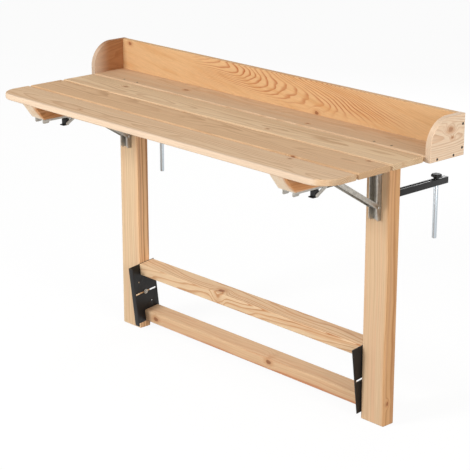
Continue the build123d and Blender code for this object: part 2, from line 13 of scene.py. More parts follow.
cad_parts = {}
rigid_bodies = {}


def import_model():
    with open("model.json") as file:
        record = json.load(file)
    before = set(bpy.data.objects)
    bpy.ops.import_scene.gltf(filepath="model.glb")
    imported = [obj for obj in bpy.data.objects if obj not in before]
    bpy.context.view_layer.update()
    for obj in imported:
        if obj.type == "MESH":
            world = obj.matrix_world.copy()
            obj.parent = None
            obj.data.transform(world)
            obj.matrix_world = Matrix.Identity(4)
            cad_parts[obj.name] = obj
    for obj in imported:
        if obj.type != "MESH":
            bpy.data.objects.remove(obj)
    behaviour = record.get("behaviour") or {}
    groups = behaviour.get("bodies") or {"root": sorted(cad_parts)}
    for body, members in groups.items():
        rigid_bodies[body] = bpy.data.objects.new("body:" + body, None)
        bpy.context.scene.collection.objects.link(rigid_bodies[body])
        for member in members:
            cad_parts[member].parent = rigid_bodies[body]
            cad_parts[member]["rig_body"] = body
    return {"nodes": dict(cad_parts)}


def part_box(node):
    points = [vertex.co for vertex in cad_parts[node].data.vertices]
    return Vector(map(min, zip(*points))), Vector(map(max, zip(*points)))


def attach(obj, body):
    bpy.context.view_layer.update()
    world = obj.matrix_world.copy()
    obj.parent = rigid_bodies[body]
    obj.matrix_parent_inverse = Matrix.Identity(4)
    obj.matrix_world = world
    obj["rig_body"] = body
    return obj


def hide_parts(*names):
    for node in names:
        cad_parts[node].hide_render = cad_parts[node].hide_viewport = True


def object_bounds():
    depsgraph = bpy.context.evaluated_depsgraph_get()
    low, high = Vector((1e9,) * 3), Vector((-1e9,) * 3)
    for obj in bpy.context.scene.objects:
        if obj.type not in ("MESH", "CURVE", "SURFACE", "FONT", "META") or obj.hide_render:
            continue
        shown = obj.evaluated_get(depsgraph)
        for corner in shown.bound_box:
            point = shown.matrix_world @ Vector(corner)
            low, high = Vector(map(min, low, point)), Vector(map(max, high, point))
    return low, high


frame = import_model()
cad_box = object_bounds()
nodes = frame["nodes"]
MM = 0.001
SIDES = ("left", "right")

SHARP = math.radians(38)  # edges that turn more than this stay crisp, or are broken
FLAT = math.radians(1)  # CAD triangles that turn less than this are one face
MERGE = 0.002 * MM  # corners of CAD triangles nearer than this are one point

# a Mix node on colours: its sockets A and B, and its settings
A, B = 6, 7
COLOURS = dict(out=2, data_type="RGBA")


def srgb(code):
    """Linear colour of an sRGB hex value."""
    parts = [int(code[i : i + 2], 16) / 255 for i in (1, 3, 5)]
    return tuple(c / 12.92 if c <= 0.04045 else ((c + 0.055) / 1.055) ** 2.4 for c in parts) + (1.0,)


def add(tree, kind, *links, out=0, **settings):
    """Add a node with its settings, link or set its inputs, and give back one of its outputs."""
    node = tree.nodes.new(kind)
    for key, value in settings.items():
        setattr(node, key, value)
    for socket, source in links:
        if isinstance(source, bpy.types.NodeSocket):
            tree.links.new(source, node.inputs[socket])
        else:
            node.inputs[socket].default_value = source
    return node.outputs[out] if node.outputs else node


def blank_material(name):
    """Material with an empty node tree."""
    material = bpy.data.materials.new(name)
    material.use_nodes = True
    material.node_tree.nodes.clear()
    return material, material.node_tree


# Wood

# Which way a board's grain runs, as the turn that brings that axis to the pattern's own X.
GRAIN_TURN = {
    "X": Matrix.Identity(3),
    "Y": Matrix.Rotation(-math.pi / 2, 3, "Z"),
    "Z": Matrix.Rotation(math.pi / 2, 3, "Y"),
}
# Lengths of the patterns along and across the grain, mm
TRUNK_WAVE = (420, 90)
STRONG_STRETCH = (700, 38)
RED_STREAK = (900, 13)
FIBRE = (130, 2.4)  # real fibres are finer than 0.1 mm; drawn this wide so that they show
RING_DRIFT = 23  # the rings grow wider and narrower over about this much of the radius, mm
RING_UNEVEN = 2.6  # and by as many rings
SUMMER_FULL, SUMMER_END = 0.9, 0.93  # where in a ring the summer line is full, and where it breaks off

CORE_BORDER = 9  # the core colour, heartwood and on the cleats and legs painted shade and painted light, runs out over this much on either side of its border, mm
LINES_OUTSIDE_CORE = 0.4
LINES_IN_CALM = 0.12
SAPWOOD, SAPWOOD_SHARE = "#E0C9B1", 0.75
KNOT_CORE = "#7E4528"
KNOT_HALO, KNOT_HALO_SHARE = "#BC8052", 0.5
KNOT_LENGTHENED = 0.62  # knots are longer along the grain: their width over their length
# In sizes of the knot: how far the rings are pushed aside, and where push, core and halo are full and gone
KNOT_PUSH = 2.2
KNOT_PUSH_EDGE, KNOT_CORE_EDGE, KNOT_HALO_EDGE = (0.0, 4.5), (0.72, 1.15), (0.8, 3.0)
END_GRAIN = 0.84  # light that end grain keeps
OILED_ROUGHNESS = (0.66, 0.5)  # of spring and summer wood
FIBRE_ROUGHNESS = 0.12
SUMMER_RELIEF = 0.7  # how far the hard rings stand proud, beside the fibres' 1


def along_grain(length, width):
    """Scale of a pattern that is so long along the grain and so wide across it, in mm."""
    return (1 / length, 1 / width, 1 / width)


def knot_marks(tree, wood, centre, through, size):
    """One knot: how far it pushes the rings aside, its dark core and its brown halo."""
    flat = Vector((KNOT_LENGTHENED, 1.0, 1.0))
    flat[max(range(3), key=lambda i: abs(through[i]))] = 0.0
    offset = add(tree, "ShaderNodeVectorMath", (0, wood), (1, centre), operation="SUBTRACT")
    offset = add(tree, "ShaderNodeVectorMath", (0, offset), (1, flat), operation="MULTIPLY")
    rough_edge = add(
        tree, "ShaderNodeTexNoise", ("Vector", offset), ("Scale", 0.5 / size), ("Detail", 2.0), out="Color"
    )
    offset = add(
        tree, "ShaderNodeVectorMath", (0, rough_edge), (1, (size,) * 3), (2, offset), operation="MULTIPLY_ADD"
    )
    offset = add(tree, "ShaderNodeVectorMath", (0, offset), (1, (size / 2,) * 3), operation="SUBTRACT")
    on_face = [float(f > 0) for f in flat]
    offset = add(tree, "ShaderNodeVectorMath", (0, offset), (1, on_face), operation="MULTIPLY")
    reach = add(tree, "ShaderNodeVectorMath", (0, offset), out="Value", operation="LENGTH")
    push, core, halo = (
        add(
            tree,
            "ShaderNodeMapRange",
            ("Value", reach),
            ("From Min", full * size),
            ("From Max", gone * size),
            ("To Min", most),
            ("To Max", 0.0),
            interpolation_type=fall,
        )
        for (full, gone), most, fall in (
            (KNOT_PUSH_EDGE, KNOT_PUSH * size, "SMOOTHERSTEP"),
            (KNOT_CORE_EDGE, 1.0, "SMOOTHSTEP"),
            (KNOT_HALO_EDGE, 1.0, "SMOOTHSTEP"),
        )
    )
    return push, core, halo


def year_rings(tree, radius, ring, pale_share):
    """Rings of uneven width, pale spring wood running into a dark summer line."""
    uneven = add(tree, "ShaderNodeMath", (0, radius), (1, 1 / RING_DRIFT), operation="MULTIPLY")
    uneven = add(
        tree, "ShaderNodeTexNoise", ("W", uneven), ("Scale", 1.0), ("Detail", 1.0), noise_dimensions="1D"
    )
    phase = add(tree, "ShaderNodeMath", (0, radius), (1, 1 / ring), operation="MULTIPLY")
    phase = add(tree, "ShaderNodeMath", (0, uneven), (1, RING_UNEVEN), (2, phase), operation="MULTIPLY_ADD")
    phase = add(tree, "ShaderNodeMath", (0, phase), operation="FRACT")
    darkening = add(
        tree,
        "ShaderNodeMapRange",
        ("Value", phase),
        ("From Min", pale_share),
        ("From Max", SUMMER_FULL),
        interpolation_type="SMOOTHSTEP",
    )
    ring_end = add(
        tree,
        "ShaderNodeMapRange",
        ("Value", phase),
        ("From Min", SUMMER_END),
        ("From Max", 1.0),
        ("To Min", 1.0),
        ("To Max", 0.0),
    )
    return add(tree, "ShaderNodeMath", (0, darkening), (1, ring_end), operation="MULTIPLY")


def larch(
    board,
    grain,
    pith,
    lean,
    seed,
    pale,
    late,
    blush,
    contrast,
    ring=4.2,
    pale_share=0.42,
    sway=34.0,
    streaks=0.55,
    heartwood_and_painted_shading=None,
    sapwood_and_painted_shade=None,
    calm=(),
    knot_depth=0.7,
    knots=(),
):
    """Planed, oiled larch. Year rings lie round a pith line, so faces show flames, edges lines, ends arcs.

    The summer wood is a reddish line at the end of each ring, knots push the rings aside, and the oil
    leaves a satin surface whose hard rings stand a little proud. Heartwood, near the pith, is browner;
    on the cleats and legs that core colour is painted shade and painted light on their sides instead.
    Sapwood, along a board's front edge, is cream; on the left cheek it starts a painted shade that
    darkens to the back. Spring wood is pale, summer wood late, and streaks blush. The pith line leans
    from the grain's axis by two angles, and the trunk's waves sway it.
    Sizes are in mm, and places in mm from the middle of the board.
    """
    material, tree = blank_material("larch_" + board)
    low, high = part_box(board)
    middle = (low + high) / 2 / MM
    turn = Matrix.Rotation(lean[1], 3, "Z") @ Matrix.Rotation(lean[0], 3, "Y") @ GRAIN_TURN[grain]
    origin = -(turn @ (middle + Vector(pith)))
    place = add(tree, "ShaderNodeTexCoord", out="Object")
    wood = add(
        tree,
        "ShaderNodeMapping",
        ("Vector", place),
        ("Scale", (1 / MM,) * 3),
        ("Rotation", turn.to_euler("XYZ")),
        ("Location", origin),
    )

    # slow waves of the trunk
    wave = add(tree, "ShaderNodeVectorMath", (0, wood), (1, along_grain(*TRUNK_WAVE)), operation="MULTIPLY")
    wave = add(
        tree,
        "ShaderNodeTexNoise",
        ("Vector", wave),
        ("W", seed),
        ("Scale", 1.0),
        ("Detail", 3.0),
        ("Roughness", 0.45),
        out="Color",
        noise_dimensions="4D",
    )
    wave = add(tree, "ShaderNodeVectorMath", (0, wave), (1, (0.5, 0.5, 0.5)), operation="SUBTRACT")
    bent = add(
        tree, "ShaderNodeVectorMath", (0, wave), (1, (0.0, sway, sway)), (2, wood), operation="MULTIPLY_ADD"
    )
    across = add(tree, "ShaderNodeVectorMath", (0, bent), (1, (0.0, 1.0, 1.0)), operation="MULTIPLY")
    radius = add(tree, "ShaderNodeVectorMath", (0, across), out="Value", operation="LENGTH")

    # knots: the rings swell round them
    knot_core, knot_halo = None, None
    for spot, size, axis in knots:
        centre = turn @ (middle + Vector(spot)) + origin
        through = turn @ Vector([float(axis == a) for a in "XYZ"])
        push, core, halo = knot_marks(tree, wood, centre, through, size)
        radius = add(tree, "ShaderNodeMath", (0, radius), (1, push), operation="ADD")
        if knot_core is None:
            knot_core, knot_halo = core, halo
        else:
            knot_core = add(tree, "ShaderNodeMath", (0, knot_core), (1, core), operation="MAXIMUM")
            knot_halo = add(tree, "ShaderNodeMath", (0, knot_halo), (1, halo), operation="MAXIMUM")

    summer = year_rings(tree, radius, ring, pale_share)

    # some rings and stretches are stronger than others
    strong = add(
        tree, "ShaderNodeVectorMath", (0, bent), (1, along_grain(*STRONG_STRETCH)), operation="MULTIPLY"
    )
    strong = add(
        tree,
        "ShaderNodeTexNoise",
        ("Vector", strong),
        ("W", seed + 4.0),
        ("Scale", 1.0),
        ("Detail", 2.0),
        noise_dimensions="4D",
    )
    strong = add(
        tree,
        "ShaderNodeMapRange",
        ("Value", strong),
        ("From Min", 0.32),
        ("From Max", 0.68),
        ("To Min", 0.35 * contrast),
        ("To Max", contrast),
    )
    summer = add(tree, "ShaderNodeMath", (0, summer), (1, strong), operation="MULTIPLY")

    # where the saw ran along a ring, the lines fade: along an axis, from the first to the second place
    for axis, full, faint in calm:
        along = add(tree, "ShaderNodeSeparateXYZ", ("Vector", place), out=axis)
        start = middle["XYZ".index(axis)]
        fade = add(
            tree,
            "ShaderNodeMapRange",
            ("Value", along),
            ("From Min", (start + faint) * MM),
            ("From Max", (start + full) * MM),
            ("To Min", LINES_IN_CALM),
            interpolation_type="SMOOTHSTEP",
        )
        summer = add(tree, "ShaderNodeMath", (0, summer), (1, fade), operation="MULTIPLY")

    # heartwood inside its radius, in its own colour and with stronger lines; on the cleats and the right leg
    # this core is painted shade on their right sides, and on the left leg it is painted light on its inner
    # side
    spring = srgb(pale)
    if heartwood_and_painted_shading is not None:
        border, brown = heartwood_and_painted_shading
        inside = add(
            tree,
            "ShaderNodeMapRange",
            ("Value", radius),
            ("From Min", border + CORE_BORDER),
            ("From Max", border - CORE_BORDER),
            interpolation_type="SMOOTHSTEP",
        )
        clear = add(tree, "ShaderNodeMapRange", ("Value", inside), ("To Min", LINES_OUTSIDE_CORE))
        summer = add(tree, "ShaderNodeMath", (0, summer), (1, clear), operation="MULTIPLY")
        spring = add(tree, "ShaderNodeMix", (0, inside), (A, spring), (B, srgb(brown)), **COLOURS)
    colour = add(tree, "ShaderNodeMix", (0, summer), (A, spring), (B, srgb(late)), **COLOURS)

    # reddish streaks along the grain
    streak = add(tree, "ShaderNodeVectorMath", (0, bent), (1, along_grain(*RED_STREAK)), operation="MULTIPLY")
    streak = add(
        tree,
        "ShaderNodeTexNoise",
        ("Vector", streak),
        ("W", seed + 9.0),
        ("Scale", 1.0),
        ("Detail", 3.0),
        noise_dimensions="4D",
    )
    streak = add(
        tree,
        "ShaderNodeMapRange",
        ("Value", streak),
        ("From Min", 0.44),
        ("From Max", 0.72),
        ("To Max", streaks),
        interpolation_type="SMOOTHSTEP",
    )
    colour = add(tree, "ShaderNodeMix", (0, streak), (A, colour), (B, srgb(blush)), **COLOURS)

    # cream along the front edge, from none at the first place to full at the second on the Y axis: sapwood,
    # and on the left cheek the fade from it to brown is painted shade
    if sapwood_and_painted_shade is not None:
        across_board = add(tree, "ShaderNodeSeparateXYZ", ("Vector", place), out="Y")
        edge = add(
            tree,
            "ShaderNodeMapRange",
            ("Value", across_board),
            ("From Min", (middle.y + sapwood_and_painted_shade[0]) * MM),
            ("From Max", (middle.y + sapwood_and_painted_shade[1]) * MM),
            ("To Max", SAPWOOD_SHARE),
            interpolation_type="SMOOTHSTEP",
        )
        colour = add(tree, "ShaderNodeMix", (0, edge), (A, colour), (B, srgb(SAPWOOD)), **COLOURS)

    # fibres
    fibre = add(tree, "ShaderNodeVectorMath", (0, wood), (1, along_grain(*FIBRE)), operation="MULTIPLY")
    fibre = add(
        tree, "ShaderNodeTexNoise", ("Vector", fibre), ("Scale", 1.0), ("Detail", 3.0), ("Roughness", 0.6)
    )
    shade = add(
        tree,
        "ShaderNodeMapRange",
        ("Value", fibre),
        ("From Min", 0.25),
        ("From Max", 0.75),
        ("To Min", 0.9),
        ("To Max", 1.08),
    )
    colour = add(
        tree, "ShaderNodeMix", (0, 1.0), (A, colour), (B, shade), blend_type="MULTIPLY", **COLOURS
    )

    # end grain soaks up the oil and is darker
    facing = add(tree, "ShaderNodeTexCoord", out="Normal")
    facing = add(tree, "ShaderNodeSeparateXYZ", ("Vector", facing), out=grain)
    facing = add(tree, "ShaderNodeMath", (0, facing), operation="ABSOLUTE")
    end_grain = add(
        tree,
        "ShaderNodeMapRange",
        ("Value", facing),
        ("From Min", 0.75),
        ("From Max", 0.98),
        ("To Min", 1.0),
        ("To Max", END_GRAIN),
        interpolation_type="SMOOTHSTEP",
    )
    colour = add(
        tree, "ShaderNodeMix", (0, 1.0), (A, colour), (B, end_grain), blend_type="MULTIPLY", **COLOURS
    )

    if knot_core is not None:
        halo = add(tree, "ShaderNodeMath", (0, knot_halo), (1, KNOT_HALO_SHARE), operation="MULTIPLY")
        colour = add(tree, "ShaderNodeMix", (0, halo), (A, colour), (B, srgb(KNOT_HALO)), **COLOURS)
        core = add(tree, "ShaderNodeMath", (0, knot_core), (1, knot_depth), operation="MULTIPLY")
        colour = add(tree, "ShaderNodeMix", (0, core), (A, colour), (B, srgb(KNOT_CORE)), **COLOURS)

    spring_gloss, summer_gloss = OILED_ROUGHNESS
    gloss = add(
        tree, "ShaderNodeMapRange", ("Value", summer), ("To Min", spring_gloss), ("To Max", summer_gloss)
    )
    gloss = add(
        tree, "ShaderNodeMath", (0, fibre), (1, FIBRE_ROUGHNESS), (2, gloss), operation="MULTIPLY_ADD"
    )
    relief = add(
        tree, "ShaderNodeMath", (0, summer), (1, SUMMER_RELIEF), (2, fibre), operation="MULTIPLY_ADD"
    )
    normal = add(
        tree, "ShaderNodeBump", ("Strength", 0.35), ("Distance", 0.35 * MM), ("Height", relief), out="Normal"
    )
    surface = add(
        tree,
        "ShaderNodeBsdfPrincipled",
        ("Base Color", colour),
        ("Roughness", gloss),
        ("Normal", normal),
        ("IOR", 1.48),
        ("Specular IOR Level", 0.22),
    )
    add(tree, "ShaderNodeOutputMaterial", ("Surface", surface))
    return material


# The table's timbers: top boards, legs, brace rails, back board, cleats and cheeks
TOP = dict(grain="X", pale="#DFBE99", late="#B2865C", blush="#CFA57D", contrast=0.8)
POST = dict(
    grain="Z",
    pale="#DFC29D",
    late="#A1683A",
    blush="#D7AB88",
    contrast=1.0,
    ring=9.0,
    sway=26.0,
    streaks=0.6,
)
RAIL = dict(
    grain="X",
    pale="#E2C29C",
    late="#B06C36",
    blush="#CE986A",
    contrast=0.9,
    ring=8.0,
    pale_share=0.55,
    sway=46.0,
)
TRIM = dict(
    grain="X",
    pale="#D7AE7F",
    late="#A34B0E",
    blush="#C9945E",
    contrast=1.0,
    ring=2.9,
    pale_share=0.46,
    sway=30.0,
)
# the cleats' browner core lies on their right sides as painted shade; their very pale wood, seen on the
# sloped front, is partly their own colour and partly painted light
CLEAT = dict(
    grain="Y", pale="#F0DCC2", late="#AE7240", blush="#E3BF9A", contrast=0.9, heartwood_and_painted_shading=(30, "#CF9462")
)
CHEEK = dict(grain="Y", pale="#E9D0B4", late="#BC8357", blush="#E6C2A0", contrast=0.7, knot_depth=0.4)
BOARDS = {
    "front_board": dict(
        TOP,
        pith=(0, -21.25, -62.5),
        lean=(0.012, 0.010),
        seed=1.0,
        sapwood_and_painted_shade=(-49.25, -59.25),
        knots=[((497, 42.75, 9.5), 3.5, "Z"), ((-350, -19.25, 9.5), 2.5, "Z")],
    ),
    "middle_board": dict(
        TOP,
        pale="#D9B38A",
        pith=(0, 23.25, -66.5),
        lean=(-0.014, 0.016),
        seed=2.3,
        knots=[((480, -63.75, 9.5), 5, "Z"), ((-105, 58.25, 9.5), 3.5, "Z"), ((660, 50.25, 9.5), 4, "Z")],
    ),
    "inner_board": dict(
        TOP,
        pale="#E8C9A2",
        pith=(0, -14.25, 77.5),
        lean=(0.010, -0.018),
        seed=3.7,
        knots=[((-500, 17.75, 9.5), 5, "Z"), ((215, -34.25, 9.5), 3.5, "Z")],
    ),
    "rear_board": dict(
        TOP,
        pale="#DBBB98",
        contrast=0.45,
        pith=(0, 23.5, -74.5),
        lean=(0.016, 0.012),
        seed=4.1,
        knots=[((-330, -4.5, 9.5), 6, "Z"), ((250, -36.5, 9.5), 3.5, "Z")],
    ),
    "back_board": dict(
        TRIM,
        pith=(0, 82.5, 17),
        lean=(-0.15, -0.07),
        seed=5.9,
        calm=[("X", -230, -430), ("X", 390, 640), ("Z", 3, -37)],
        knots=[((190, -9.5, -35), 5, "Y"), ((-690, -9.5, 49), 5, "Y")],
    ),
    # the left cheek's browns are painted shade, darkest towards the back corner, with the cream front edge
    # kept pale
    "cheek_left": dict(
        CHEEK,
        pale="#A5724A",
        late="#895731",
        blush="#96623B",
        pith=(-53, -6, -4),
        lean=(0.05, 0.06),
        seed=6.2,
        sapwood_and_painted_shade=(-1, -76),
    ),
    "cheek_right": dict(
        CHEEK,
        pith=(63, 4, 6),
        lean=(-0.06, 0.05),
        seed=7.4,
        knots=[((9, 10, 23), 6, "X"), ((9, 18, -1), 3, "X")],
    ),
    # the legs' core colour is painted on their sides: lighter on the left leg's inner side as painted light,
    # browner on the right leg's right side as painted shade
    "leg_left": dict(POST, pith=(77, 32.5, 267), lean=(0.01, 0.012), seed=8.8, heartwood_and_painted_shading=(72, "#EDBF90")),
    "leg_right": dict(
        POST,
        pale="#D6B793",
        pith=(89, 26.5, 267),
        lean=(0.012, -0.01),
        seed=9.5,
        heartwood_and_painted_shading=(72, "#D3A373"),
        knots=[((45, -6.5, -346), 4, "X")],
    ),
    "cleat_left": dict(CLEAT, pith=(47, -2.75, -0.5), lean=(0.01, 0.015), seed=10.6),
    "cleat_right": dict(CLEAT, pith=(47, -2.75, -0.5), lean=(-0.01, 0.015), seed=11.2),
    "upper_rail": dict(
        RAIL, pith=(0, 51, -32.56), lean=(0.02, 0.03), seed=12.9, knots=[((-120, -13, 9.44), 8, "Z")]
    ),
    "lower_rail": dict(
        RAIL,
        pale="#DDB992",
        blush="#C98F6A",
        contrast=0.7,
        pith=(0, -45.73, -57.83),
        lean=(0.004, -0.006),
        seed=13.3,
        heartwood_and_painted_shading=(46, "#CB8B67"),
        knots=[((-455, -35.73, -3.83), 7, "Y"), ((95, -35.73, 4.17), 7, "Y")],
    ),
}
for board, look in BOARDS.items():
    nodes[board].data.materials.clear()
    nodes[board].data.materials.append(larch(board, **look))


# Metal and plastic

ZINC_CRYSTAL, ZINC_PATCH, ZINC_GRAIN = 6 * MM, 28 * MM, 1.5 * MM
DRAWN_LINE, DRAWN_RUN = 1.2 * MM, 60 * MM  # drawing lines are finer; this wide so that they show
DUST_PATCH = 35 * MM


def galvanised_sheet():
    """Zinc-dipped sheet: a grey metal whose crystals each reflect a little differently."""
    material, tree = blank_material("galvanised_sheet")
    place = add(tree, "ShaderNodeTexCoord", out="Object")
    crystal = add(tree, "ShaderNodeTexVoronoi", ("Vector", place), ("Scale", 1 / ZINC_CRYSTAL), out="Color")
    crystal = add(tree, "ShaderNodeSeparateColor", ("Color", crystal))
    dull = add(tree, "ShaderNodeTexNoise", ("Vector", place), ("Scale", 1 / ZINC_PATCH), ("Detail", 4.0))
    blotch = add(tree, "ShaderNodeMath", (0, crystal), (1, 0.45), (2, dull), operation="MULTIPLY_ADD")
    colour = add(
        tree, "ShaderNodeMix", (0, blotch), (A, srgb("#8F8A83")), (B, srgb("#BBB6AD")), **COLOURS
    )
    rough = add(
        tree,
        "ShaderNodeMapRange",
        ("Value", blotch),
        ("From Max", 1.2),
        ("To Min", 0.34),
        ("To Max", 0.52),
    )
    grain = add(tree, "ShaderNodeTexNoise", ("Vector", place), ("Scale", 1 / ZINC_GRAIN), ("Detail", 2.0))
    normal = add(
        tree, "ShaderNodeBump", ("Strength", 0.12), ("Distance", 0.1 * MM), ("Height", grain), out="Normal"
    )
    surface = add(
        tree,
        "ShaderNodeBsdfPrincipled",
        ("Base Color", colour),
        ("Metallic", 1.0),
        ("Roughness", rough),
        ("Normal", normal),
    )
    add(tree, "ShaderNodeOutputMaterial", ("Surface", surface))
    return material


def zinc_plated_bar():
    """Drawn bar with bright zinc: bluish and smooth, with fine lines left along it by the drawing."""
    material, tree = blank_material("zinc_plated_bar")
    place = add(tree, "ShaderNodeTexCoord", out="Object")
    upright_lines = (1 / DRAWN_LINE, 1 / DRAWN_LINE, 1 / DRAWN_RUN)
    lines = add(tree, "ShaderNodeMapping", ("Vector", place), ("Scale", upright_lines))
    lines = add(tree, "ShaderNodeTexNoise", ("Vector", lines), ("Scale", 1.0), ("Detail", 3.0))
    colour = add(
        tree, "ShaderNodeMix", (0, lines), (A, srgb("#AEB6BC")), (B, srgb("#D5DCE1")), **COLOURS
    )
    rough = add(tree, "ShaderNodeMapRange", ("Value", lines), ("To Min", 0.2), ("To Max", 0.42))
    normal = add(
        tree, "ShaderNodeBump", ("Strength", 0.1), ("Distance", 0.05 * MM), ("Height", lines), out="Normal"
    )
    surface = add(
        tree,
        "ShaderNodeBsdfPrincipled",
        ("Base Color", colour),
        ("Metallic", 1.0),
        ("Roughness", rough),
        ("Normal", normal),
    )
    add(tree, "ShaderNodeOutputMaterial", ("Surface", surface))
    return material


def black_finish(name, dark, light, grain_mm, relief, rough, metallic):
    """Black coat or moulding: nearly black, with a fine skin that breaks up the light and dusty patches."""
    material, tree = blank_material(name)
    place = add(tree, "ShaderNodeTexCoord", out="Object")
    skin = add(
        tree, "ShaderNodeTexNoise", ("Vector", place), ("Scale", 1 / (grain_mm * MM)), ("Detail", 3.0)
    )
    dust = add(tree, "ShaderNodeTexNoise", ("Vector", place), ("Scale", 1 / DUST_PATCH), ("Detail", 5.0))
    dust = add(
        tree,
        "ShaderNodeMapRange",
        ("Value", dust),
        ("From Min", 0.35),
        ("From Max", 0.75),
        interpolation_type="SMOOTHSTEP",
    )
    colour = add(tree, "ShaderNodeMix", (0, dust), (A, srgb(dark)), (B, srgb(light)), **COLOURS)
    gloss = add(
        tree, "ShaderNodeMapRange", ("Value", skin), ("To Min", rough - 0.1), ("To Max", rough + 0.12)
    )
    normal = add(
        tree, "ShaderNodeBump", ("Strength", relief), ("Distance", 0.15 * MM), ("Height", skin), out="Normal"
    )
    surface = add(
        tree,
        "ShaderNodeBsdfPrincipled",
        ("Base Color", colour),
        ("Metallic", metallic),
        ("Roughness", gloss),
        ("Normal", normal),
        ("IOR", 1.5),
        ("Specular IOR Level", 0.35),
    )
    add(tree, "ShaderNodeOutputMaterial", ("Surface", surface))
    return material


GALVANISED = galvanised_sheet()
ZINC = zinc_plated_bar()
# powder coat: an orange-peel skin about 1.5 mm wide, satin
POWDER = black_finish("black_powder_coat", "#100F0F", "#191716", 1.5, 0.3, 0.42, 0.0)
# moulded polyamide: a finer spark-eroded grain, more matt; the catches are a greyer one
MOULDED = black_finish("black_moulded_polyamide", "#0D0C0C", "#151413", 0.8, 0.4, 0.52, 0.0)
CATCH = black_finish("dark_grey_moulded_polyamide", "#242322", "#2E2C2A", 0.8, 0.35, 0.55, 0.0)
# black oxide on steel: thin, slightly metallic
BLACK_OXIDE = black_finish("black_oxide_steel", "#171615", "#2B2826", 0.6, 0.2, 0.4, 0.6)


# Pieces


def make_piece(name, mesh, body, material, slot, replaced):
    """Put a finished mesh in the scene, on its body and in place of its CAD nodes.

    A mesh that Geometry Nodes made has its material already, and comes with None.
    """
    piece = bpy.data.objects.new(name, mesh)
    bpy.context.scene.collection.objects.link(piece)
    if material is not None:
        mesh.materials.clear()
        mesh.materials.append(material)
    mesh.shade_smooth()
    mesh.set_sharp_from_angle(angle=SHARP)
    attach(piece, body)
    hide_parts(*replaced)


def broken_edges(node, width, material, slot, segments):
    """Copy of a CAD piece with its sharp edges rounded off by a width in mm, as making it leaves them."""
    mesh = nodes[node].data.copy()
    shape = bmesh.new()
    shape.from_mesh(mesh)
    bmesh.ops.remove_doubles(shape, verts=shape.verts, dist=MERGE)
    bmesh.ops.dissolve_limit(shape, angle_limit=FLAT, verts=shape.verts, edges=shape.edges)
    shape.to_mesh(mesh)
    shape.free()
    blank = bpy.data.objects.new(node + "_blank", mesh)
    bpy.context.scene.collection.objects.link(blank)
    bevel = blank.modifiers.new("edges", "BEVEL")
    bevel.width = width * MM
    bevel.segments = segments
    bevel.limit_method = "ANGLE"
    bevel.angle_limit = SHARP
    bevel.use_clamp_overlap = True
    graph = bpy.context.evaluated_depsgraph_get()
    finished = bpy.data.meshes.new_from_object(blank.evaluated_get(graph))
    bpy.data.objects.remove(blank)
    make_piece(node + "_finished", finished, nodes[node]["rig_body"], material, slot, [node])


def turned(name, rings, centre, segments, lobes):
    """Closed mesh of an upright turned solid: rings of (radius, height, lobing) in mm; radius 0 ends it."""
    shape = bmesh.new()
    loops = []
    for radius, height, lobing in rings:
        if radius == 0:
            loops.append([shape.verts.new(Vector(centre) + Vector((0, 0, height * MM)))])
            continue
        loop = []
        for step in range(segments):
            angle = 2 * math.pi * step / segments
            r = radius * (1 + lobing * math.cos(lobes * angle)) * MM
            spot = Vector((r * math.cos(angle), r * math.sin(angle), height * MM))
            loop.append(shape.verts.new(Vector(centre) + spot))
        loops.append(loop)
    for low, high in zip(loops, loops[1:]):
        for step in range(segments):
            after = (step + 1) % segments
            lower = [low[step % len(low)], low[after % len(low)]]
            upper = [high[after % len(high)], high[step % len(high)]]
            shape.faces.new(list(dict.fromkeys(lower + upper)))
    bmesh.ops.recalc_face_normals(shape, faces=shape.faces)
    mesh = bpy.data.meshes.new(name)
    shape.to_mesh(mesh)
    shape.free()
    return mesh


def new_tree(name, inputs, result):
    """Empty Geometry Nodes tree with named inputs and one result; gives back the tree and its inputs."""
    tree = bpy.data.node_groups.new(name, "GeometryNodeTree")
    for label, kind in inputs.items():
        tree.interface.new_socket(label, in_out="INPUT", socket_type="NodeSocket" + kind)
    tree.interface.new_socket(result, in_out="OUTPUT", socket_type="NodeSocketGeometry")
    return tree, add(tree, "NodeGroupInput").node.outputs


def grown(name, mesh, tree, inputs):
    """Run a Geometry Nodes tree on a mesh and give back the result as a plain mesh."""
    base = bpy.data.objects.new(name + "_base", mesh)
    bpy.context.scene.collection.objects.link(base)
    modifier = base.modifiers.new("grow", "NODES")
    modifier.node_group = tree
    for item in tree.interface.items_tree:
        if item.in_out == "INPUT" and item.name in inputs:
            modifier[item.identifier] = inputs[item.name]
    graph = bpy.context.evaluated_depsgraph_get()
    result = bpy.data.meshes.new_from_object(base.evaluated_get(graph))
    bpy.data.objects.remove(base)
    return result


# Screws, set by Geometry Nodes

# Countersunk head from the floor of its six-lobed recess outwards: rings of (radius, height, lobing) in mm
SCREW_HEAD = [
    (0, -1.3, 0),
    (1.45, -1.3, 0.17),
    (1.6, -0.2, 0.17),
    (1.75, -0.02, 0.14),
    (3.75, -0.02, 0),
    (3.98, -0.14, 0),
    (2.0, -2.0, 0),
]
SCREW_SHANK = 2.0  # radius, mm
SCREW_POINT = 4.0  # length, mm
SCREW_SEGMENTS, RECESS_LOBES = 24, 6
WIDER_THAN_SHANK = 3.5 * MM  # only a head's corners lie this far from the screw's middle line


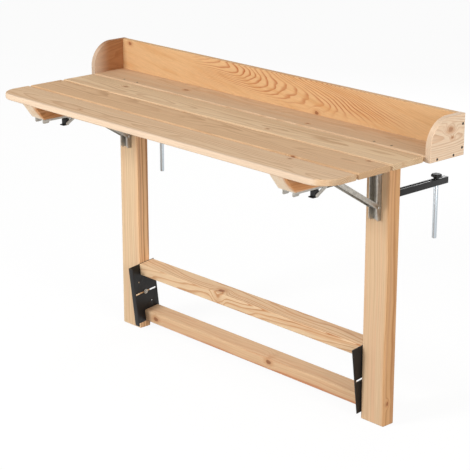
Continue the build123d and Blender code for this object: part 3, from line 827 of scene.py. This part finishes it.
def screw_tree():
    """Sets one screw on each point, its head along the point's aim, each turned by chance."""
    tree, given = new_tree(
        "set_screws", {"Seats": "Geometry", "Screw": "Object", "Seed": "Int", "Finish": "Material"}, "Screws"
    )
    screw = add(tree, "GeometryNodeObjectInfo", ("Object", given["Screw"]), out="Geometry")
    aim = add(tree, "GeometryNodeInputNamedAttribute", ("Name", "aim"), data_type="FLOAT_VECTOR")
    stand = add(tree, "FunctionNodeAlignRotationToVector", ("Vector", aim), axis="Z")
    chance = add(
        tree,
        "FunctionNodeRandomValue",
        ("Seed", given["Seed"]),
        (2, 0.0),
        (3, math.tau),
        out=1,
        data_type="FLOAT",
    )
    spin = add(tree, "FunctionNodeAxisAngleToRotation", ("Axis", (0, 0, 1)), ("Angle", chance))
    stand = add(tree, "FunctionNodeRotateRotation", (0, stand), (1, spin), rotation_space="LOCAL")
    set_in = add(
        tree,
        "GeometryNodeInstanceOnPoints",
        ("Points", given["Seats"]),
        ("Instance", screw),
        ("Rotation", stand),
    )
    solid = add(tree, "GeometryNodeRealizeInstances", ("Geometry", set_in))
    solid = add(tree, "GeometryNodeSetMaterial", ("Geometry", solid), ("Material", given["Finish"]))
    add(tree, "NodeGroupOutput", ("Screws", solid))
    return tree


def loose_parts(shape):
    """Groups of a bmesh's corners that hang together."""
    left = set(shape.verts)
    while left:
        group, edge = set(), [left.pop()]
        while edge:
            vertex = edge.pop()
            group.add(vertex)
            near = {e.other_vert(vertex) for e in vertex.link_edges} & left
            left -= near
            edge.extend(near)
        yield group


def screw_seats(node):
    """Where a CAD group's screws sit: the middle of each head, the way it faces, and the longest length."""
    shape = bmesh.new()
    shape.from_mesh(nodes[node].data)
    bmesh.ops.remove_doubles(shape, verts=shape.verts, dist=MERGE)
    seats, length = [], 0.0
    for group in loose_parts(shape):
        low = Vector([min(v.co[i] for v in group) for i in range(3)])
        high = Vector([max(v.co[i] for v in group) for i in range(3)])
        size = high - low
        along = max(range(3), key=lambda i: size[i])
        middle = (low + high) / 2
        head = []
        for vertex in group:
            out = vertex.co - middle
            out[along] = 0.0
            if out.length > WIDER_THAN_SHANK:
                head.append(vertex.co[along])
        end = high[along] if head and sum(head) / len(head) > middle[along] else low[along]
        seat, aim = middle.copy(), Vector((0, 0, 0))
        aim[along] = 1.0 if end > middle[along] else -1.0
        seat[along] = end
        seats.append((seat, aim))
        length = max(length, size[along] / MM)
    shape.free()
    return sorted(seats, key=lambda s: tuple(s[0])), length


SCREW_TREE = screw_tree()


def set_screws(node, seed, finish, slot):
    """Countersunk screws with a six-lobed recess, in place of a CAD group of screws."""
    seats, length = screw_seats(node)
    rings = SCREW_HEAD + [(SCREW_SHANK, SCREW_POINT - length, 0), (0, -length, 0)]
    pattern = turned(node + "_pattern", rings, (0, 0, 0), SCREW_SEGMENTS, RECESS_LOBES)
    pattern = bpy.data.objects.new(node + "_pattern", pattern)
    points = bpy.data.meshes.new(node + "_seats")
    points.from_pydata([seat for seat, _ in seats], [], [])
    aims = points.attributes.new("aim", "FLOAT_VECTOR", "POINT")
    aims.data.foreach_set("vector", [c for _, aim in seats for c in aim])
    mesh = grown(node, points, SCREW_TREE, {"Screw": pattern, "Seed": seed, "Finish": finish})
    bpy.data.objects.remove(pattern)
    make_piece(node + "_set", mesh, nodes[node]["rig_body"], None, slot, [node])


for seed, place in enumerate(("rear_board", "cheek")):
    set_screws(place + "_screws", seed, BLACK_OXIDE, "black_screw")
for seed, place in enumerate(("back_board", "cleat", "arm", "upright", "tube", "rail"), start=2):
    set_screws(place + "_screws", seed, ZINC, "zinc_steel")


# Brackets, catches, clamps and brace: the CAD shapes with broken edges

# How wide the edges are broken in mm, the finish, its slot, and in how many steps the edge is rounded
EDGED = {
    "upright": (0.6, GALVANISED, "galvanised_steel", 2),
    "arm": (0.6, GALVANISED, "galvanised_steel", 2),
    "strut": (0.6, GALVANISED, "galvanised_steel", 2),
    "release_lever": (0.5, GALVANISED, "galvanised_steel", 2),
    "strut_pivot": (0.6, ZINC, "zinc_steel", 2),
    "catch_pin": (0.6, ZINC, "zinc_steel", 2),
    "lever_pin": (0.6, ZINC, "zinc_steel", 2),
    "catch": (0.7, CATCH, "catch_plastic", 3),
    "fold_pin": (0.95, ZINC, "zinc_steel", 4),
    "clamp_tube": (0.4, POWDER, "black_steel", 2),
    "tube_plug": (0.5, MOULDED, "black_plastic", 2),
    "clamp_rod": (0.5, ZINC, "zinc_steel", 3),
    "brace_plate": (0.6, POWDER, "black_steel", 3),
    "brace_washer": (0.25, GALVANISED, "galvanised_steel", 2),
    "brace_bolt": (0.3, GALVANISED, "galvanised_steel", 2),
    "lever_grip": (0.8, MOULDED, "black_plastic", 3),
}
for side in SIDES:
    for part, (width, finish, slot, steps) in EDGED.items():
        broken_edges(f"{part}_{side}", width, finish, slot, steps)


# Star knobs and lever springs

# Knob from the roof of its stud bore, round its foot, neck and lobes to the dished top:
# rings of (radius, height, lobing) in mm
KNOB_RINGS = [
    (0, 11.6, 0),
    (4.2, 11.6, 0),
    (4.2, 0.0, 0),
    (7.4, 0.0, 0),
    (8.0, 0.6, 0),
    (7.6, 1.8, 0),
    (7.6, 4.4, 0),
    (8.6, 5.0, 0),
    (13.4, 5.1, 0.06),
    (14.5, 6.2, 0.09),
    (14.6, 8.5, 0.1),
    (14.5, 11.6, 0.1),
    (13.7, 13.2, 0.1),
    (12.2, 14.1, 0.08),
    (9.4, 14.5, 0.03),
    (8.4, 14.4, 0),
    (7.9, 13.9, 0),
    (7.2, 13.8, 0),
    (6.4, 14.1, 0),
    (3.4, 14.4, 0),
    (0, 14.45, 0),
]
KNOB_SEGMENTS, KNOB_LOBES = 128, 8
SPRING_TURNS = 4.5
SPRING_WIRE = 0.62  # radius, mm


def star_knob(side):
    """Star knob with eight rounded lobes, a dished top and a blind bore for the stud."""
    low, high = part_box(f"clamp_knob_{side}")
    centre = ((low.x + high.x) / 2, (low.y + high.y) / 2, low.z)
    mesh = turned(f"star_knob_{side}", KNOB_RINGS, centre, KNOB_SEGMENTS, KNOB_LOBES)
    make_piece(f"star_knob_{side}", mesh, f"{side}_knob", MOULDED, "black_plastic", [f"clamp_knob_{side}"])


def spring_tree():
    """Coil of round wire along X: a spiral swept by a circle."""
    tree, given = new_tree(
        "wind_spring",
        {
            "Blank": "Geometry",
            "Turns": "Float",
            "Coil Radius": "Float",
            "Wire Radius": "Float",
            "Width": "Float",
            "Start": "Vector",
            "Finish": "Material",
        },
        "Spring",
    )
    spiral = add(
        tree,
        "GeometryNodeCurveSpiral",
        ("Resolution", 28),
        ("Rotations", given["Turns"]),
        ("Start Radius", given["Coil Radius"]),
        ("End Radius", given["Coil Radius"]),
        ("Height", given["Width"]),
    )
    ring = add(
        tree, "GeometryNodeCurvePrimitiveCircle", ("Resolution", 10), ("Radius", given["Wire Radius"])
    )
    wire = add(
        tree, "GeometryNodeCurveToMesh", ("Curve", spiral), ("Profile Curve", ring), ("Fill Caps", True)
    )
    laid = add(
        tree,
        "GeometryNodeTransform",
        ("Geometry", wire),
        ("Translation", given["Start"]),
        ("Rotation", (0.0, math.pi / 2, 0.0)),
    )
    solid = add(tree, "GeometryNodeRealizeInstances", ("Geometry", laid))
    solid = add(tree, "GeometryNodeSetMaterial", ("Geometry", solid), ("Material", given["Finish"]))
    add(tree, "NodeGroupOutput", ("Spring", solid))
    return tree


SPRING_TREE = spring_tree()


def lever_spring(side):
    """Wound spring round the lever pin, in place of its CAD outline."""
    low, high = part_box(f"lever_spring_{side}")
    wire = SPRING_WIRE * MM
    blank = bpy.data.meshes.new(f"spring_blank_{side}")
    blank.from_pydata([(0, 0, 0)], [], [])
    mesh = grown(
        f"lever_spring_{side}",
        blank,
        SPRING_TREE,
        {
            "Turns": SPRING_TURNS,
            "Coil Radius": (high.z - low.z) / 2 - wire,
            "Wire Radius": wire,
            "Width": high.x - low.x - 2 * wire,
            "Start": (low.x + wire, (low.y + high.y) / 2, (low.z + high.z) / 2),
            "Finish": ZINC,
        },
    )
    make_piece(f"wound_spring_{side}", mesh, f"{side}_catch", None, "zinc_steel", [f"lever_spring_{side}"])


for side in SIDES:
    star_knob(side)
    lever_spring(side)


# Studio: pale floor, even sky and four soft lamps

FLOOR_HALF = 30  # m
FLOOR_DROP = 0.2 * MM  # below the feet, so that floor and feet share no face
FLOOR_WHITE = 0.92  # share of plain white that the camera sees; the rest keeps the shadow
PAPER_TOOTH = 40 * MM
SKY_LIGHT, SKY_SEEN = 0.475, 1.0
LAMP_AIM = (0, -0.15, -0.1)
# Place and size in m, power in W
LAMPS = {
    "key_front_left": ((-1.0, -4.3, 1.95), 1.3, 132),
    "fill_right": ((5.0, -1.2, 0.9), 2.0, 120),
    "bounce_front": ((-0.4, -3.2, -0.3), 1.4, 21),
    "fill_rear": ((-1.6, 3.4, 1.3), 1.4, 46),
}
# The photograph's angle: place in m, degrees down and round, lens and sensor in mm
CAMERA_PLACE = (3.6054, -3.4227, 1.3471)
CAMERA_DOWN, CAMERA_ROUND = 17.7, 47.17
CAMERA_LENS, CAMERA_SENSOR = 127.6, 36.0


def seen_plainly(tree):
    """1 for rays from the camera, off gloss or through glass, 0 for light that falls on the table."""
    rays = add(tree, "ShaderNodeLightPath").node.outputs
    seen = add(
        tree, "ShaderNodeMath", (0, rays["Is Camera Ray"]), (1, rays["Is Glossy Ray"]), operation="MAXIMUM"
    )
    return add(tree, "ShaderNodeMath", (0, seen), (1, rays["Is Transmission Ray"]), operation="MAXIMUM")


def studio_floor():
    """Matt paper with a faint tooth: plain white to the camera, and a duller bounce on the table."""
    material, tree = blank_material("white_studio_paper")
    place = add(tree, "ShaderNodeTexCoord", out="Object")
    tooth = add(tree, "ShaderNodeTexNoise", ("Vector", place), ("Scale", 1 / PAPER_TOOTH), ("Detail", 4.0))
    pale = add(tree, "ShaderNodeMix", (0, tooth), (A, srgb("#F7F6F5")), (B, srgb("#FBFBFA")), **COLOURS)
    seen = seen_plainly(tree)
    colour = add(tree, "ShaderNodeMix", (0, seen), (A, srgb("#BDBBB8")), (B, pale), **COLOURS)
    paper = add(tree, "ShaderNodeBsdfDiffuse", ("Color", colour), ("Roughness", 0.5))
    white = add(tree, "ShaderNodeEmission", ("Color", (1, 1, 1, 1)), ("Strength", 1.0))
    share = add(tree, "ShaderNodeMath", (0, seen), (1, FLOOR_WHITE), operation="MULTIPLY")
    surface = add(tree, "ShaderNodeMixShader", (0, share), (1, paper), (2, white))
    add(tree, "ShaderNodeOutputMaterial", ("Surface", surface))
    return material


def lamp(name, place, size, power):
    """Square soft lamp that faces the middle of the table."""
    light = bpy.data.lights.new(name, "AREA")
    light.size = size
    light.energy = power
    lamp_object = bpy.data.objects.new(name, light)
    lamp_object.location = place
    lamp_object.visible_camera = False
    lamp_object.rotation_euler = (Vector(LAMP_AIM) - Vector(place)).to_track_quat("-Z", "Y").to_euler()
    bpy.context.scene.collection.objects.link(lamp_object)


floor_mesh = bpy.data.meshes.new("studio_floor")
ground = cad_box[0].z - FLOOR_DROP
corners = [(x * FLOOR_HALF, y * FLOOR_HALF, ground) for x, y in ((-1, -1), (1, -1), (1, 1), (-1, 1))]
floor_mesh.from_pydata(corners, [], [(0, 1, 2, 3)])
floor_mesh.materials.append(studio_floor())
floor = bpy.data.objects.new("studio_floor", floor_mesh)
bpy.context.scene.collection.objects.link(floor)

for name, (place, size, power) in LAMPS.items():
    lamp(name, place, size, power)

world = bpy.data.worlds.new("studio_sky")
bpy.context.scene.world = world
world.use_nodes = True
sky = world.node_tree
sky.nodes.clear()
strength = add(
    sky, "ShaderNodeMapRange", ("Value", seen_plainly(sky)), ("To Min", SKY_LIGHT), ("To Max", SKY_SEEN)
)
background = add(sky, "ShaderNodeBackground", ("Color", (1, 1, 1, 1)), ("Strength", strength))
add(sky, "ShaderNodeOutputWorld", ("Surface", background))

lens = bpy.data.cameras.new("camera")
lens.sensor_width = CAMERA_SENSOR
lens.lens = CAMERA_LENS
camera = bpy.data.objects.new("camera", lens)
camera.location = CAMERA_PLACE
camera.rotation_euler = (math.radians(90 - CAMERA_DOWN), 0, math.radians(CAMERA_ROUND))
bpy.context.scene.collection.objects.link(camera)
bpy.context.scene.camera = camera

bpy.context.scene.view_settings.view_transform = "Standard"
